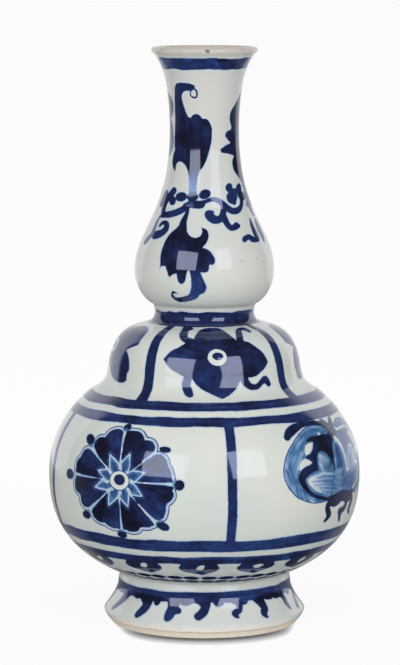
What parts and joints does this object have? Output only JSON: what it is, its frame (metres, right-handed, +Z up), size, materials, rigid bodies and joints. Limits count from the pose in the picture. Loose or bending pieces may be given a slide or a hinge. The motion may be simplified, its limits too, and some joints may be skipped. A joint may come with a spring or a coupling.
{
  "type": "gourd vase",
  "caption": "Gourd-shaped porcelain vase: flared foot, round globe, domed middle bulb, narrow collar, pear-shaped upper bulb and trumpet neck. Stands on its foot and holds flower stems.",
  "frame": {"origin": "centre of the foot's resting face, on the surface the vase stands on", "axes": "+Z up along the vase's axis, -Y towards the side seen in the picture"},
  "size_m": [0.1298, 0.1298, 0.24],
  "materials": {
    "porcelain": "clear gloss glaze over blue brush painting",
    "slip": "matt, smeared by hand"
  },
  "bodies": {
    "root": {"foot_ring": "porcelain", "foot_slip_seam": "slip", "lower_globe": "porcelain", "equator_slip_seam": "slip", "upper_globe": "porcelain", "shoulder_slip_seam": "slip", "middle_bulb": "porcelain", "waist_slip_seam": "slip", "waist_collar": "porcelain", "collar_slip_seam": "slip", "upper_bulb": "porcelain", "neck_slip_seam": "slip", "neck": "porcelain"}
  },
  "joints": []
}
